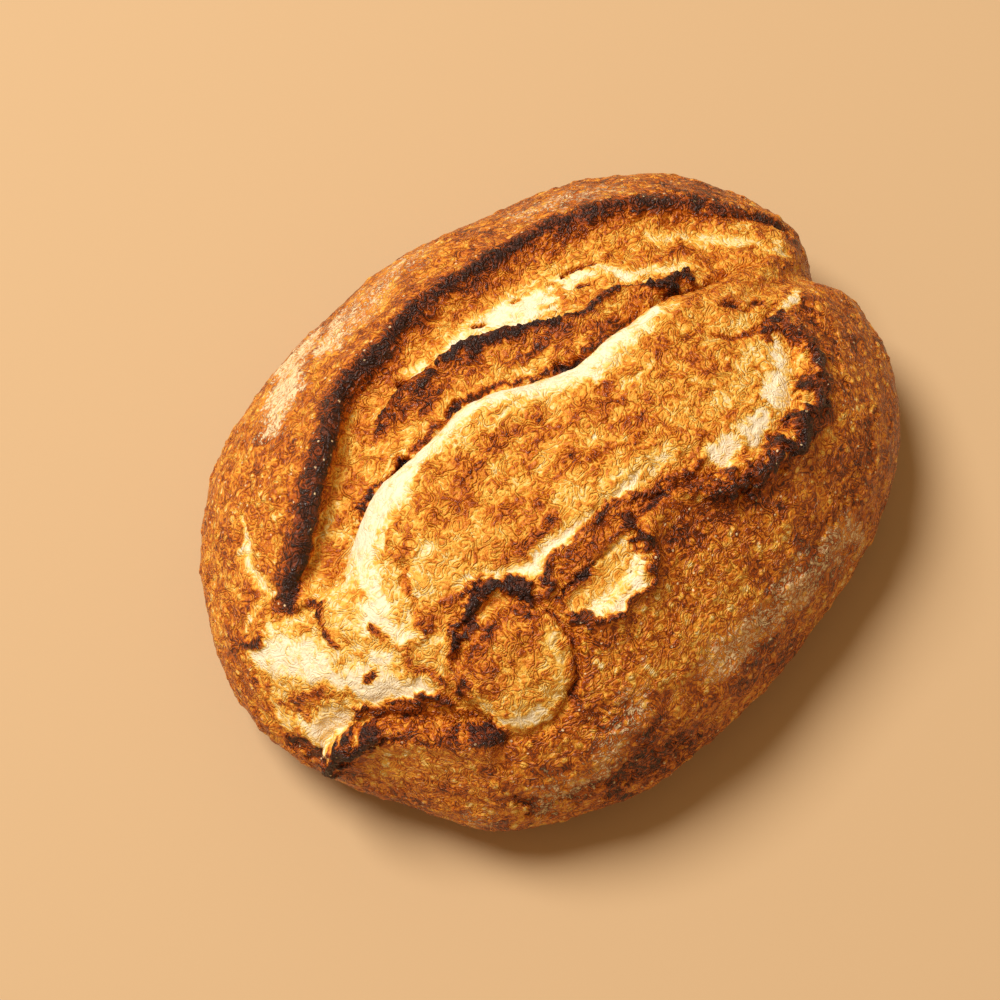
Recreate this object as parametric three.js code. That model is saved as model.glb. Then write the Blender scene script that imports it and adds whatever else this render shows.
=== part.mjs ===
// Sourdough loaf: a long country loaf, baked in one piece, with one deep score along its far side.
// Millimetres, +Z up, +X along the loaf. The origin is the middle of the outline, on the flat base.
// One closed skin: a ball of triangles is pulled out to the loaf's outline and dome, and the
// score's ears, opening, seams and torn edges are pressed into the dome or raised from it.
import * as THREE from 'three';
import { mergeVertices } from 'three/addons/utils/BufferGeometryUtils.js';

// ---- driving dimensions ----
const CROWN_HEIGHT = 94;        // top of the dome above the base
const WAIST_HEIGHT = 26;        // height at which the loaf is widest
const BASE_TUCK = 0.26;         // share of the radius lost from the waist down to the base
const DOME_FULLNESS = 2.5;      // higher is flatter on top
const DOME_SHOULDER = 0.6;      // lower is steeper at the side
const RING_COUNT = 21;          // splits along each edge of the ball's 20 faces

// Outline at the waist: radius every 20 degrees, counter-clockwise from +X.
const OUTLINE_STEP = 20;
const OUTLINE_RADII = [
  128, 131, 118, 105.5, 101.5, 102.5, 111.5, 121, 127, 129.5,
  122, 118.5, 110, 101.5, 99.5, 106, 121, 129,
];
const NOTCH = {     // the ear's hooked end leaves a gap in the rim
  angle: -4,        // degrees from +X
  width: 3.5,       // degrees over which it closes on either side
  depth: 8,
  foot: 6,          // it starts at this height
  full: 36,         // and has its whole depth from this height up
  inner: 70,        // it starts at this distance from the middle
  rim: 110,         // and has its whole depth from this distance out
};

// ---- the score ----
// Each line runs from the left end to the right, in plan. Its left-hand side is the far side.
const OUTER_EAR = {
  line: [
    [-104, 19], [-92, 25], [-70, 38], [-50, 52], [-37, 61], [-14, 64], [10, 65], [40, 62],
    [60, 57], [83, 46], [98, 36], [111, 20], [119, 10], [123, -1],
  ],
  rise: 5,          // the lip stands this far above the dome
  back: 18,         // and fades out over this width of crust
  edge: 5,          // width over which its rounded edge turns down
  lean: 4,          // the lip hangs this far over the opening
  face: 10,         // width of the torn wall under it
};
const INNER_EAR = {
  line: [[-43, 47], [-26, 46], [-8, 44], [8, 38], [21, 30], [35, 23], [48, 23], [62, 15], [78, 13]],
  rise: 7,
  far: 6,           // width of its short far slope
  near: 15,         // and of its long near slope
};
const SEAM = {      // where the opening meets the central plate
  line: [
    [-103, 12], [-90, 17], [-73, 24], [-57, 30], [-34, 29], [-10, 27], [3, 21], [19, 14],
    [53, 12], [78, 8], [98, 5], [114, 0],
  ],
  rise: 9,          // width over which the central plate rises out of it
};
const OPENING_DEPTH = 13;

// ---- the torn near side ----
const LOWER_LIP = {  // edge of the near crust, which stands above the central plate
  line: [
    [-41, -50], [-28, -55], [-12, -51], [0, -43], [18, -46], [36, -49], [54, -51], [68, -46],
    [78, -36], [84, -26], [80, -19],
  ],
  rise: 3.5,        // the crust's edge stands this far above the dome
  back: 9,          // and fades out over this width of crust
  drop: 3.5,        // depth of the hollow before it
  edge: 5,          // width of the torn face between the two
  hollow: 10,       // width over which the hollow comes back up
};
const PALE_CREASE = { line: [[-52, -20], [-43, -29], [-28, -29], [-10, -31], [6, -32]], depth: 3, width: 5 };
const CORNER_LIP = { // edge of the near crust at the left end
  line: [[-123, -15], [-113, -22], [-103, -31], [-95, -41], [-87, -51], [-79, -58]],
  rise: 4.5,
  back: 10,
  drop: 2.5,
  edge: 6,
  hollow: 10,
};
const END_CHANNEL = { line: [[-112, 18], [-107, 0], [-99, -14], [-87, -32]], depth: 3, width: 13 };
const LOBE = { centre: [-63, -47], radius: 19, rise: 6, brow: 3 };
const LOBE_BROW = { line: [[-76, -33], [-69, -28], [-60, -24], [-52, -27], [-46, -38]], width: 5 };
const LOBE_CREASE = {
  line: [[-45, -38], [-43, -50], [-48, -61], [-60, -67], [-72, -64]],
  depth: 3,
  width: 6,
};
const END_FADE = 0.1;            // share of a line's length over which it fades in and out

const CRUST_COLOUR = 0xb5702e;

// ---- small helpers ----
const radians = THREE.MathUtils.degToRad;
const ramp = THREE.MathUtils.smoothstep;

/** 1 in the middle of a line, fading to 0 at both of its ends. */
function endFade(along) {
  return ramp(along, 0, END_FADE) * ramp(1 - along, 0, END_FADE);
}

/** 1 at distance 0, falling smoothly to 0 at the given width. */
function bump(distance, width) {
  return 1 - ramp(Math.abs(distance), 0, width);
}

/** A smooth plan curve through the points, as evenly spaced points along it. */
function planCurve(line) {
  const points = line.map(([x, y]) => new THREE.Vector3(x, y, 0));
  return new THREE.CatmullRomCurve3(points, false, 'centripetal').getSpacedPoints(90);
}

/** Where a plan point lies against a curve: signed distance to its left, share along it, left direction. */
function locate(curve, x, y) {
  let best = { squared: Infinity };
  for (let i = 0; i + 1 < curve.length; i += 1) {
    const start = curve[i];
    const stepX = curve[i + 1].x - start.x;
    const stepY = curve[i + 1].y - start.y;
    const length = Math.hypot(stepX, stepY);
    const share = THREE.MathUtils.clamp(
      ((x - start.x) * stepX + (y - start.y) * stepY) / length ** 2, 0, 1);
    const offX = x - start.x - share * stepX;
    const offY = y - start.y - share * stepY;
    const squared = offX ** 2 + offY ** 2;
    if (squared < best.squared) {
      const left = [-stepY / length, stepX / length];
      const side = Math.sign(offX * left[0] + offY * left[1]) || 1;
      best = { squared, left, distance: side * Math.sqrt(squared), along: (i + share) / (curve.length - 1) };
    }
  }
  return best;
}

// ---- body ----
/** Smooth closed curve through the outline's radii. */
function outlineRadius(angle) {
  const count = OUTLINE_RADII.length;
  const turn = ((THREE.MathUtils.radToDeg(angle) / OUTLINE_STEP) % count + count) % count;
  const index = Math.floor(turn);
  const share = turn - index;
  const [before, start, end, after] = [-1, 0, 1, 2].map(
    (offset) => OUTLINE_RADII[(index + offset + count) % count]);
  const startSlope = (end - before) / 2;
  const endSlope = (after - start) / 2;
  const cubic = 2 * start - 2 * end + startSlope + endSlope;
  const square = -3 * start + 3 * end - 2 * startSlope - endSlope;
  return ((cubic * share + square) * share + startSlope) * share + start;
}

/** How far the notch cuts in towards the middle at a point of the skin. */
function notchCut(point) {
  const fromNotch = THREE.MathUtils.radToDeg(Math.atan2(point.y, point.x)) - NOTCH.angle;
  const upward = THREE.MathUtils.smoothstep(point.z, NOTCH.foot, NOTCH.full);
  const outward = THREE.MathUtils.smoothstep(Math.hypot(point.x, point.y), NOTCH.inner, NOTCH.rim);
  return NOTCH.depth * Math.exp(-((fromNotch / NOTCH.width) ** 2)) * upward * outward;
}

/** Height of the smooth dome over a plan point. */
function domeHeight(x, y) {
  const share = Math.min(1, Math.hypot(x, y) / outlineRadius(Math.atan2(y, x)));
  const fall = (1 - share ** DOME_FULLNESS) ** DOME_SHOULDER;
  return WAIST_HEIGHT + (CROWN_HEIGHT - WAIST_HEIGHT) * fall;
}

/** Outward normal of the smooth dome over a plan point. */
function domeNormal(x, y) {
  const step = 0.5;
  const inner = 0.985;
  const slopeX = domeHeight(inner * x + step, inner * y) - domeHeight(inner * x - step, inner * y);
  const slopeY = domeHeight(inner * x, inner * y + step) - domeHeight(inner * x, inner * y - step);
  return new THREE.Vector3(-slopeX / (2 * step), -slopeY / (2 * step), 1).normalize();
}

// ---- relief on the dome: each returns how far the skin is lifted along the dome's normal ----
const curves = {
  outerEar: planCurve(OUTER_EAR.line),
  innerEar: planCurve(INNER_EAR.line),
  seam: planCurve(SEAM.line),
  lowerLip: planCurve(LOWER_LIP.line),
  paleCrease: planCurve(PALE_CREASE.line),
  cornerLip: planCurve(CORNER_LIP.line),
  endChannel: planCurve(END_CHANNEL.line),
  lobeBrow: planCurve(LOBE_BROW.line),
  lobeCrease: planCurve(LOBE_CREASE.line),
};

/** The outer ear's raised lip, and the opening sunk between it and the seam. */
function scoreRelief(ear, seam) {
  const fade = endFade(ear.along);
  const lip = OUTER_EAR.rise * fade
    * (1 - ramp(ear.distance, 0, OUTER_EAR.back)) * ramp(ear.distance, -OUTER_EAR.edge, 0);
  const past = ramp(-ear.distance, 0, OUTER_EAR.face);
  const beforePlate = 1 - ramp(-seam.distance, 0, SEAM.rise);
  return lip - OPENING_DEPTH * fade * endFade(seam.along) * past * beforePlate;
}

/** The inner ear: a ridge that stands in the opening, steep on its far side. */
function innerEarRelief(x, y) {
  const { distance, along } = locate(curves.innerEar, x, y);
  const width = distance > 0 ? INNER_EAR.far : INNER_EAR.near;
  return INNER_EAR.rise * endFade(along) * bump(distance, width);
}

/** A torn crust edge that stands up on its right-hand side, with a hollow on its left. */
function tornEdgeRelief(curve, edge, x, y) {
  const { distance, along } = locate(curve, x, y);
  const crust = edge.rise * bump(distance, edge.back) * ramp(-distance, -edge.edge, 0);
  const hollow = edge.drop * ramp(distance, 0, edge.edge)
    * (1 - ramp(distance, edge.edge, edge.edge + edge.hollow));
  return endFade(along) * (crust - hollow);
}

/** A crease or a channel pressed in along a line. */
function creaseRelief(curve, crease, x, y) {
  const { distance, along } = locate(curve, x, y);
  return -crease.depth * endFade(along) * bump(distance, crease.width);
}

/** The round lobe that swelled out of the near side, with a raised brow on its far edge. */
function lobeRelief(x, y) {
  const share = Math.hypot(x - LOBE.centre[0], y - LOBE.centre[1]) / LOBE.radius;
  const brow = locate(curves.lobeBrow, x, y);
  const swell = share < 1 ? Math.sqrt(1 - share ** 2) : 0;
  return LOBE.rise * swell + LOBE.brow * endFade(brow.along) * bump(brow.distance, LOBE_BROW.width);
}

/** A point of the loaf's upper skin: the dome with all its relief. */
function upperPoint(x, y) {
  const ear = locate(curves.outerEar, x, y);
  const seam = locate(curves.seam, x, y);
  const lift = scoreRelief(ear, seam)
    + innerEarRelief(x, y)
    + tornEdgeRelief(curves.lowerLip, LOWER_LIP, x, y)
    + tornEdgeRelief(curves.cornerLip, CORNER_LIP, x, y)
    + creaseRelief(curves.paleCrease, PALE_CREASE, x, y)
    + creaseRelief(curves.endChannel, END_CHANNEL, x, y)
    + creaseRelief(curves.lobeCrease, LOBE_CREASE, x, y)
    + lobeRelief(x, y);
  const lean = OUTER_EAR.lean * endFade(ear.along) * bump(ear.distance, OUTER_EAR.face);
  return new THREE.Vector3(x - lean * ear.left[0], y - lean * ear.left[1], domeHeight(x, y))
    .addScaledVector(domeNormal(x, y), lift);
}

// ---- the skin ----
const WAIST_POLAR = radians(118);   // the ball's polar angle that becomes the waist
const BASE_POLAR = radians(148);    // and the one that becomes the edge of the flat base

/** Carries a point of the unit ball to its place on the loaf before the notch is cut. */
function bodyPoint(ballPoint) {
  const angle = Math.atan2(ballPoint.y, ballPoint.x);
  const polar = Math.acos(THREE.MathUtils.clamp(ballPoint.z, -1, 1));
  const waist = outlineRadius(angle);
  if (polar < WAIST_POLAR) {
    const reach = waist * Math.sin(radians(90) * polar / WAIST_POLAR);
    return upperPoint(reach * Math.cos(angle), reach * Math.sin(angle));
  }
  const under = Math.min(1, (polar - WAIST_POLAR) / (BASE_POLAR - WAIST_POLAR)) * radians(90);
  const toCentre = Math.max(0, (polar - BASE_POLAR) / (Math.PI - BASE_POLAR));
  const reach = waist * (1 - BASE_TUCK * (1 - Math.cos(under))) * (1 - toCentre);
  const height = toCentre > 0 ? 0 : WAIST_HEIGHT * (1 - Math.sin(under));
  return new THREE.Vector3(reach * Math.cos(angle), reach * Math.sin(angle), height);
}

/** Carries a point of the unit ball to its place on the loaf. */
function loafPoint(ballPoint) {
  const point = bodyPoint(ballPoint);
  const radius = Math.hypot(point.x, point.y);
  const kept = radius > 0 ? 1 - notchCut(point) / radius : 1;
  return new THREE.Vector3(point.x * kept, point.y * kept, point.z);
}

/** Moves the skin so that its box is centred over the origin and its base lies at z = 0. */
function standOnBase(geometry) {
  geometry.computeBoundingBox();
  const middle = geometry.boundingBox.getCenter(new THREE.Vector3());
  geometry.translate(-middle.x, -middle.y, -geometry.boundingBox.min.z);
}

function loafGeometry() {
  const ball = new THREE.IcosahedronGeometry(1, RING_COUNT - 1);
  ball.deleteAttribute('normal');
  ball.deleteAttribute('uv');
  const geometry = mergeVertices(ball);
  const position = geometry.attributes.position;
  for (let i = 0; i < position.count; i += 1) {
    const point = loafPoint(new THREE.Vector3().fromBufferAttribute(position, i));
    position.setXYZ(i, point.x, point.y, point.z);
  }
  standOnBase(geometry);
  geometry.computeVertexNormals();
  return geometry;
}

const crust = new THREE.MeshStandardMaterial({ color: CRUST_COLOUR, roughness: 0.6, metalness: 0 });
const loaf = new THREE.Mesh(loafGeometry(), crust);
loaf.name = 'loaf';

const part = new THREE.Group();
part.add(loaf);

export default part;
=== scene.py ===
"""A sourdough loaf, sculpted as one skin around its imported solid.

Lengths in this script are loaf millimetres: +X along the loaf, +Y towards its scored far side,
+Z up, origin in the middle of the base. The finished skin is fitted to the solid's own box.
A point on the upper skin is named by its plan place (x, y) on the smooth dome under the relief.
"""

import itertools
import math

import bpy
import numpy as np
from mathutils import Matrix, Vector


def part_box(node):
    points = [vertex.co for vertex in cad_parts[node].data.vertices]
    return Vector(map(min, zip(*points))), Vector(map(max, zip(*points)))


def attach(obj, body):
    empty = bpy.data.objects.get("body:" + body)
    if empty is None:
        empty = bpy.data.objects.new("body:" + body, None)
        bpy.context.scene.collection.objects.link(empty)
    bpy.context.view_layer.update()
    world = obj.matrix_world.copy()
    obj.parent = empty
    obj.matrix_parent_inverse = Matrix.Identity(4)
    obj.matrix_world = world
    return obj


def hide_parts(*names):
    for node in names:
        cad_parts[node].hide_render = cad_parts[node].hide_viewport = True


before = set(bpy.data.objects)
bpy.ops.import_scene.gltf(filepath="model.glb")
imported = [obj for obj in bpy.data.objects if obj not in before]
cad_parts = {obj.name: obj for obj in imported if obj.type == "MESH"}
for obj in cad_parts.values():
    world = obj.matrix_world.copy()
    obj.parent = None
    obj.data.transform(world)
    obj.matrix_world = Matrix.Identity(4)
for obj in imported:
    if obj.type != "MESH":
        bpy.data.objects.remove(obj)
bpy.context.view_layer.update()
MM = 0.001

# ---- body ----
CROWN_HEIGHT = 94
WAIST_HEIGHT = 26
BASE_TUCK = 0.26
DOME_FULLNESS = 2.5
DOME_SHOULDER = 0.6
OUTLINE_STEP = 20
OUTLINE_RADII = [
    128, 131, 118, 105.5, 101.5, 102.5, 111.5, 121, 127, 129.5,
    122, 118.5, 110, 101.5, 99.5, 106, 121, 129]
WAIST_POLAR = math.radians(118)
BASE_POLAR = math.radians(148)

# The notch at the right end: its direction and width in degrees, and its depth. It starts at a height
# above the base and is full higher up, and starts well inside the rim and is full near it.
NOTCH_ANGLE, NOTCH_WIDTH, NOTCH_DEPTH = -4, 3.5, 8
NOTCH_FOOT, NOTCH_FULL = 6, 36
NOTCH_INNER, NOTCH_RIM = 70, 110

# ---- mesh: the longest edges, in mm, and how often the ball and then the skin are split ----
FIRST_SPLITS = 5
EDGE_ON_TOP = 1.15
EDGE_UNDER = 3.5
SPLIT_ROUNDS = 5

# ---- how dark each surface is: 0 is bare crumb, 1 is char; mostly the oven's browning, and painted shade in a few cracks and pits ----
CRUMB, CREAM, STRAW, HONEY, GOLD, AMBER = 0.0, 0.12, 0.25, 0.3, 0.38, 0.44
ORANGE, COPPER, TOFFEE, CHESTNUT, RUSSET = 0.5, 0.54, 0.62, 0.68, 0.74
UMBER, BROWN, SOOT, CHAR = 0.81, 0.86, 0.92, 1.0

# ---- folds, as lines in plan from left to right; a line's left-hand side is the far side ----
OUTER_EAR = [
    (-104, 19), (-92, 25), (-81, 31), (-70, 38), (-60, 45), (-50, 52), (-43, 58), (-37, 61), (-26, 62),
    (-14, 64), (0, 65), (20, 64), (40, 62), (52, 60), (62, 56), (72, 51), (83, 45), (92, 40), (98, 35),
    (104, 27), (111, 20), (118, 11), (121, 2)]
INNER_EAR = [
    (-44.5, 47.5), (-34.5, 47), (-25.5, 46.5), (-16.5, 45), (-7.5, 44.5), (1.5, 41.5), (8.5, 38.5),
    (14.5, 34.5), (21.5, 30.5), (28.5, 26), (35.5, 22.5), (41.5, 24), (48.5, 23.5), (55.5, 19.5), (62.5, 15),
    (78.5, 13.5)]
SEAM = [
    (-103, 11), (-93, 16), (-81, 22), (-67, 28), (-55, 31), (-45, 30), (-34, 29.5), (-19, 30), (-10, 28),
    (-3, 25), (3, 21.5), (11, 18), (20, 14), (33, 13.5), (45, 13), (55, 12.5), (67, 10), (83, 8), (98, 5),
    (115, 0)]
LOWER_LIP = [
    (-42, -47), (-36, -52), (-29, -55), (-22, -53), (-13, -53), (-8, -47), (-2, -42), (10, -42), (18, -46),
    (26, -48), (36, -48.5), (46, -51), (56, -50), (66, -46), (74, -41), (80, -33), (84, -26), (80, -19)]
CORNER_LIP = [(-123, -16), (-114, -21), (-107, -26), (-100, -33), (-94, -41), (-87, -50), (-79, -58)]
LOBE_CENTRE, LOBE_RADIUS = (-63, -47), 19

# ---- the outer ear and its opening at places along the ear, 0 at its left end and 1 at its right ----
EAR_ALONG = [0, 0.12, 0.28, 0.4, 0.7, 0.9, 1]
LIP_HEIGHT = [4.5, 5.5, 4, 2.6, 2.2, 3.5, 6]
LIP_OVERHANG = [5, 6.5, 4, 1.8, 1.6, 3, 5]
WALL_UNDERCUT = [3, 4.5, 2, 0.5, 0.5, 1.5, 2]
OPENING_DEPTH = [8, 12, 12.5, 11, 10, 9, 6]

# ---- the same across the ear, from the opening's floor up over the lip and down its back, in mm ----
EAR_STATIONS = [-15, -10, -7, -4.5, -2, 0, 2, 6, 12, 20]
LEAN_SHARE = [0, 0, 0, -0.25, -0.8, -1, -0.95, -0.6, -0.2, 0]
UNDERCUT_SHARE = [0, 0.3, 0.6, 0.4, 0, 0, 0, 0, 0, 0]
RISE_SHARE = [0, 0, 0, 0, 0.3, 0.85, 1, 0.62, 0.22, 0]
DEPTH_SHARE = [-1, -0.92, -0.75, -0.45, -0.08, 0, 0, 0, 0, 0]

# ---- the seam: how wide the plate's slope down to it is, at places along it, and its crack ----
PLATE_SLOPE_ALONG = [0, 0.15, 0.35, 0.8, 1]
PLATE_SLOPE_WIDTH = [24, 20, 13, 12, 15]
SEAM_DEPTH, SEAM_HALF_WIDTH, PLATE_OVERHANG = 2.5, 1.1, 1.8

# ---- the inner ear: its height along it, and its section from the near foot to the far foot ----
INNER_ALONG, INNER_HEIGHT = [0, 0.3, 0.6, 0.85, 1], [4, 7, 7.5, 6, 4]
INNER_STATIONS = [-20, -14, -8, -3, 0, 1.5, 4, 7]
INNER_SECTION = [0, 0.25, 0.6, 0.9, 1, 0.8, 0.25, 0]
INNER_LEAN = 1.2

# ---- a torn edge: the crust that stands up on its right, and the hollow on its left ----
CRUST_STATIONS, CRUST_SECTION = [-11, -6, -2.5, -0.8, 0.6], [0, 0.35, 0.9, 1, 0]
HOLLOW_STATIONS, HOLLOW_SECTION = [-0.8, 0.8, 3, 8, 13], [0, 0.85, 1, 0.4, 0]
EDGE_LEAN = 1.5
LOWER_LIP_RISE, LOWER_LIP_DROP = 3.2, 0.9
CORNER_LIP_RISE, CORNER_LIP_DROP = 4, 3
LOBE_HEIGHT, LOBE_GROOVE = 5, 1.5

# ---- how the oven coloured the outer ear: its wall up to the lip, then the lip from left to right ----
WALL_STATIONS = [-10, -8, -6.2, -4.8, -3.4, -2.2]
WALL_BAKE = [AMBER, AMBER, ORANGE, TOFFEE, RUSSET, BROWN]
LIP_WIDTH_ALONG, LIP_WIDTH = [0, 0.22, 0.33, 0.7, 0.9, 1], [3.8, 3.8, 2.2, 1.6, 1.0, 1.0]
LIP_FADE_ALONG, LIP_FADE = [0, 0.25, 0.4, 1], [3.0, 2.6, 1.8, 1.4]
LIP_BAKE_ALONG, LIP_BAKE = [0, 0.25, 0.4, 0.8, 1], [0.94, 0.93, 0.9, 0.84, 0.8]
CREASE_ALONG, CREASE_CHAR = [0, 0.3, 0.75, 1], [1, 0.9, 0.6, 0.3]

# ---- grain of the skin: sizes across and heights, in mm ----
BUBBLE_SIZE, BUBBLE_HEIGHT = 3.4, 0.55
WRINKLE_SIZE, WRINKLE_HEIGHT = 2.6, 0.3
FIBRE_SIZE, FIBRE_HEIGHT = 4.5, 1.2
CRUMB_FIBRE_SIZE, CRUMB_FIBRE_HEIGHT = 3.4, 0.75
CRACKLE_SIZE, CRACKLE_HEIGHT = 2.8, 1.2
MOTTLE_SIZE = 6


# ---------------------------------------------------------------- curves and noise
def smooth(value, low, high):
    """0 at low, 1 at high, easing in between."""
    share = np.clip((value - low) / (high - low), 0, 1)
    return share * share * (3 - 2 * share)


def mix(start, end, share):
    return start + (end - start) * share


def curve_through(stations, values, where):
    """Smooth curve through values at rising stations."""
    stations = np.asarray(stations, float)
    values = np.asarray(values, float)
    slopes = np.gradient(values, stations)
    where = np.clip(where, stations[0], stations[-1])
    index = np.clip(np.searchsorted(stations, where) - 1, 0, len(stations) - 2)
    gap = stations[index + 1] - stations[index]
    share = (where - stations[index]) / gap
    rest = 1 - share
    ends = values[index] * rest ** 2 * (1 + 2 * share) + values[index + 1] * share ** 2 * (3 - 2 * share)
    return ends + gap * share * rest * (slopes[index] * rest - slopes[index + 1] * share)


def smooth_line(points, step=3.0):
    """Evenly spaced points on a smooth curve through given ones."""
    points = np.array(points, float)
    station = np.concatenate([[0], np.cumsum(np.hypot(*np.diff(points, axis=0).T))])
    count = max(2, int(station[-1] / step) + 1)
    places = np.linspace(0, station[-1], count)
    return np.stack([curve_through(station, points[:, axis], places) for axis in (0, 1)], axis=1)


def locate(line, x, y):
    """Signed distance to the left of a line, share along it, and its left-hand direction."""
    nearest = np.full(len(x), np.inf)
    distance, along = np.zeros((2, len(x)))
    left = np.zeros((len(x), 2))
    for index, (start, end) in enumerate(zip(line[:-1], line[1:])):
        step = end - start
        length = math.hypot(*step)
        share = np.clip(((x - start[0]) * step[0] + (y - start[1]) * step[1]) / length ** 2, 0, 1)
        off_x = x - start[0] - share * step[0]
        off_y = y - start[1] - share * step[1]
        squared = off_x ** 2 + off_y ** 2
        closer = squared < nearest
        side = np.where(off_y * step[0] - off_x * step[1] < 0, -1, 1)
        nearest[closer] = squared[closer]
        distance[closer] = (side * np.sqrt(squared))[closer]
        along[closer] = (index + share[closer]) / (len(line) - 1)
        left[closer] = (-step[1] / length, step[0] / length)
    return distance, along, left


def inside_distance(outline, x, y):
    """Distance to a closed outline, positive inside it."""
    closed = np.vstack([outline, outline[:1]])
    distance = np.abs(locate(closed, x, y)[0])
    inside = np.zeros(len(x), bool)
    for start, end in zip(closed[:-1], closed[1:]):
        if start[1] == end[1]:
            continue
        level = (y > min(start[1], end[1])) & (y <= max(start[1], end[1]))
        crossing = start[0] + (y - start[1]) * (end[0] - start[0]) / (end[1] - start[1])
        inside ^= level & (x < crossing)
    return np.where(inside, distance, -distance)


LATTICE = np.random.default_rng(11).permutation(256)
SLOPES = np.random.default_rng(12).normal(size=(256, 3))
SLOPES /= np.linalg.norm(SLOPES, axis=1, keepdims=True)
JITTER = np.random.default_rng(13).random((256, 4))


def lattice_key(cell):
    """A repeatable number from 0 to 255 for each whole lattice cell."""
    return LATTICE[(LATTICE[(LATTICE[cell[:, 0] & 255] + cell[:, 1]) & 255] + cell[:, 2]) & 255]


def noise(places, size):
    """Smooth noise from about -1 to 1, with features of the given size in millimetres.

    Adding a number to the places gives a field of its own, unlike the others.
    """
    scaled = places / size + 37.3
    cell = np.floor(scaled).astype(np.int64)
    within = scaled - cell
    ease = within ** 3 * (within * (within * 6 - 15) + 10)
    total = np.zeros(len(places))
    for corner in itertools.product((0, 1), repeat=3):
        weight = np.prod(np.where(corner, ease, 1 - ease), axis=1)
        total += weight * np.einsum("ij,ij->i", SLOPES[lattice_key(cell + corner)], within - corner)
    return total * 1.7


def layered_noise(places, size, layers=3, fall=0.5):
    """Noise with finer, weaker layers added."""
    total = sum(fall ** layer * noise(places + 61.7 * layer, size / 2 ** layer) for layer in range(layers))
    return total / sum(fall ** layer for layer in range(layers))


def blisters(places, size, share):
    """Round domes, 0 to 1 high, scattered one to a cell; share is the part of cells that has one."""
    scaled = places / size + 11.9
    cell = np.floor(scaled).astype(np.int64)
    height = np.zeros(len(places))
    for neighbour in itertools.product((-1, 0, 1), repeat=3):
        around = cell + neighbour
        spot = JITTER[lattice_key(around)]
        radius = 0.25 + 0.35 * spot[:, 3]
        off = scaled - around - spot[:, :3]
        fall = 1 - np.einsum("ij,ij->i", off, off) / radius ** 2
        dome = np.sqrt(np.clip(fall, 0, 1)) * radius / 0.6
        height = np.maximum(height, np.where((spot[:, 3] * 7.1) % 1 < share, dome, 0))
    return height


# ---------------------------------------------------------------- body
def outline_radius(angle):
    """Radius of the outline at the waist."""
    ring = np.array(OUTLINE_RADII + OUTLINE_RADII[:1] + OUTLINE_RADII[1:2], float)
    ring = np.concatenate([[OUTLINE_RADII[-1]], ring])
    degrees = np.degrees(angle) % 360
    stations = np.arange(-1, len(OUTLINE_RADII) + 2) * OUTLINE_STEP
    return curve_through(stations, ring, degrees)


def notch_cut(x, y, z):
    """How far the notch at the right end cuts in: deepest under the ear's tip, gone at the base."""
    from_notch = np.degrees(np.arctan2(y, x)) - NOTCH_ANGLE
    across = np.exp(-(from_notch / NOTCH_WIDTH) ** 2)
    outer = smooth(np.hypot(x, y), NOTCH_INNER, NOTCH_RIM)
    return NOTCH_DEPTH * across * outer * smooth(z, NOTCH_FOOT, NOTCH_FULL)


def dome_height(x, y):
    """Height of the smooth dome above a plan place."""
    share = np.minimum(1, np.hypot(x, y) / outline_radius(np.arctan2(y, x)))
    return WAIST_HEIGHT + (CROWN_HEIGHT - WAIST_HEIGHT) * (1 - share ** DOME_FULLNESS) ** DOME_SHOULDER


def dome_normal(x, y):
    """Outward direction of the dome, measured just inside its rim, where the slope is finite."""
    step, inner = 0.5, 0.985
    slope_x = dome_height(inner * x + step, inner * y) - dome_height(inner * x - step, inner * y)
    slope_y = dome_height(inner * x, inner * y + step) - dome_height(inner * x, inner * y - step)
    normal = np.stack([-slope_x / (2 * step), -slope_y / (2 * step), np.ones_like(x)], axis=1)
    return normal / np.linalg.norm(normal, axis=1, keepdims=True)


def smooth_body(directions):
    """Places and normals on the smooth body, and the share of the top's relief there, 0 below the rim."""
    angle = np.arctan2(directions[:, 1], directions[:, 0])
    polar = np.arccos(np.clip(directions[:, 2], -1, 1))
    waist = outline_radius(angle)
    on_top = polar < WAIST_POLAR
    round_x, round_y = np.cos(angle), np.sin(angle)
    top_reach = waist * np.sin(np.minimum(polar / WAIST_POLAR, 1) * math.pi / 2)
    under = np.clip((polar - WAIST_POLAR) / (BASE_POLAR - WAIST_POLAR), 0, 1) * math.pi / 2
    to_centre = np.clip((polar - BASE_POLAR) / (math.pi - BASE_POLAR), 0, 1)
    low_reach = waist * (1 - BASE_TUCK * (1 - np.cos(under))) * (1 - to_centre)
    reach = np.where(on_top, top_reach, low_reach)
    x, y = reach * round_x, reach * round_y
    z = np.where(on_top, dome_height(x, y), WAIST_HEIGHT * (1 - np.sin(under)))
    z[to_centre > 0] = 0
    low_normal = np.stack([
        round_x * WAIST_HEIGHT * np.cos(under), round_y * WAIST_HEIGHT * np.cos(under),
        -waist * BASE_TUCK * np.sin(under)], axis=1)
    low_normal /= np.linalg.norm(low_normal, axis=1, keepdims=True)
    normal = np.where(on_top[:, None], dome_normal(x, y), low_normal)
    rim_fade = smooth(polar / WAIST_POLAR, 1.0, 0.9)
    cut = notch_cut(x, y, z)
    return np.stack([x - cut * round_x, y - cut * round_y, z], axis=1), normal, rim_fade


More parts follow.
